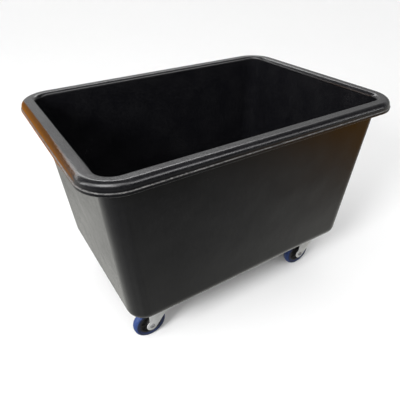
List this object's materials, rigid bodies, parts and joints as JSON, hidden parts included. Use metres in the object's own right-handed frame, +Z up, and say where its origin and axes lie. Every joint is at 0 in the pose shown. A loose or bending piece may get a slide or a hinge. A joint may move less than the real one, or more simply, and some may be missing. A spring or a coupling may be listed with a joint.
{
  "type": "wheeled waste tub",
  "caption": "Open-top moulded polyethylene tub with a deep hollow-backed rim, tapered walls and swivel castors with blue elastic tyres, for carrying loose waste or laundry.",
  "frame": {"origin": "on the ground, below the middle of the tub", "axes": "+X along the tub towards its front end, +Y to its left side, +Z up"},
  "size_m": [1.148, 0.82, 0.767],
  "materials": {
    "black_polyethylene": "semi-gloss, fine moulded grain",
    "zinc_plated_steel": "bright zinc plate, slightly dulled",
    "bearing_steel": "polished",
    "blue_rubber": "matt elastic rubber",
    "black_nylon": "satin"
  },
  "bodies": {
    "tub": {"tub_shell": "black_polyethylene", "stud_plate_front_left": "zinc_plated_steel", "top_plate_front_left": "zinc_plated_steel", "kingpin_front_left": "zinc_plated_steel", "kingpin_nut_front_left": "zinc_plated_steel", "lower_race_front_left": "bearing_steel", "stud_plate_front_right": "zinc_plated_steel", "top_plate_front_right": "zinc_plated_steel", "kingpin_front_right": "zinc_plated_steel", "kingpin_nut_front_right": "zinc_plated_steel", "lower_race_front_right": "bearing_steel", "stud_plate_rear_left": "zinc_plated_steel", "top_plate_rear_left": "zinc_plated_steel", "kingpin_rear_left": "zinc_plated_steel", "kingpin_nut_rear_left": "zinc_plated_steel", "lower_race_rear_left": "bearing_steel", "stud_plate_rear_right": "zinc_plated_steel", "top_plate_rear_right": "zinc_plated_steel", "kingpin_rear_right": "zinc_plated_steel", "kingpin_nut_rear_right": "zinc_plated_steel", "lower_race_rear_right": "bearing_steel"},
    "swivel_front_left": {"fork_front_left": "zinc_plated_steel", "ball_ring_front_left": "bearing_steel", "axle_bolt_front_left": "zinc_plated_steel", "axle_nut_front_left": "zinc_plated_steel", "axle_sleeve_front_left": "zinc_plated_steel"},
    "wheel_front_left": {"wheel_centre_front_left": "black_nylon", "tyre_front_left": "blue_rubber", "roller_bearing_front_left": "bearing_steel"},
    "swivel_front_right": {"fork_front_right": "zinc_plated_steel", "ball_ring_front_right": "bearing_steel", "axle_bolt_front_right": "zinc_plated_steel", "axle_nut_front_right": "zinc_plated_steel", "axle_sleeve_front_right": "zinc_plated_steel"},
    "wheel_front_right": {"wheel_centre_front_right": "black_nylon", "tyre_front_right": "blue_rubber", "roller_bearing_front_right": "bearing_steel"},
    "swivel_rear_left": {"fork_rear_left": "zinc_plated_steel", "ball_ring_rear_left": "bearing_steel", "axle_bolt_rear_left": "zinc_plated_steel", "axle_nut_rear_left": "zinc_plated_steel", "axle_sleeve_rear_left": "zinc_plated_steel"},
    "wheel_rear_left": {"wheel_centre_rear_left": "black_nylon", "tyre_rear_left": "blue_rubber", "roller_bearing_rear_left": "bearing_steel"},
    "swivel_rear_right": {"fork_rear_right": "zinc_plated_steel", "ball_ring_rear_right": "bearing_steel", "axle_bolt_rear_right": "zinc_plated_steel", "axle_nut_rear_right": "zinc_plated_steel", "axle_sleeve_rear_right": "zinc_plated_steel"},
    "wheel_rear_right": {"wheel_centre_rear_right": "black_nylon", "tyre_rear_right": "blue_rubber", "roller_bearing_rear_right": "bearing_steel"}
  },
  "joints": [
    {"name": "swivel_front_left", "type": "hinge", "parent": "tub", "child": "swivel_front_left", "pos_m": [0.365, 0.24, 0.143], "axis": [0, 0, 1], "continuous": true},
    {"name": "wheel_front_left", "type": "hinge", "parent": "swivel_front_left", "child": "wheel_front_left", "pos_m": [0.399, 0.24, 0.0625], "axis": [0, 1, 0], "continuous": true},
    {"name": "swivel_front_right", "type": "hinge", "parent": "tub", "child": "swivel_front_right", "pos_m": [0.365, -0.24, 0.143], "axis": [0, 0, 1], "continuous": true},
    {"name": "wheel_front_right", "type": "hinge", "parent": "swivel_front_right", "child": "wheel_front_right", "pos_m": [0.331, -0.24, 0.0625], "axis": [0, 1, 0], "continuous": true},
    {"name": "swivel_rear_left", "type": "hinge", "parent": "tub", "child": "swivel_rear_left", "pos_m": [-0.365, 0.24, 0.143], "axis": [0, 0, 1], "continuous": true},
    {"name": "wheel_rear_left", "type": "hinge", "parent": "swivel_rear_left", "child": "wheel_rear_left", "pos_m": [-0.331, 0.24, 0.0625], "axis": [0, 1, 0], "continuous": true},
    {"name": "swivel_rear_right", "type": "hinge", "parent": "tub", "child": "swivel_rear_right", "pos_m": [-0.365, -0.24, 0.143], "axis": [0, 0, 1], "continuous": true},
    {"name": "wheel_rear_right", "type": "hinge", "parent": "swivel_rear_right", "child": "wheel_rear_right", "pos_m": [-0.399, -0.24, 0.0625], "axis": [0, 1, 0], "continuous": true}
  ]
}
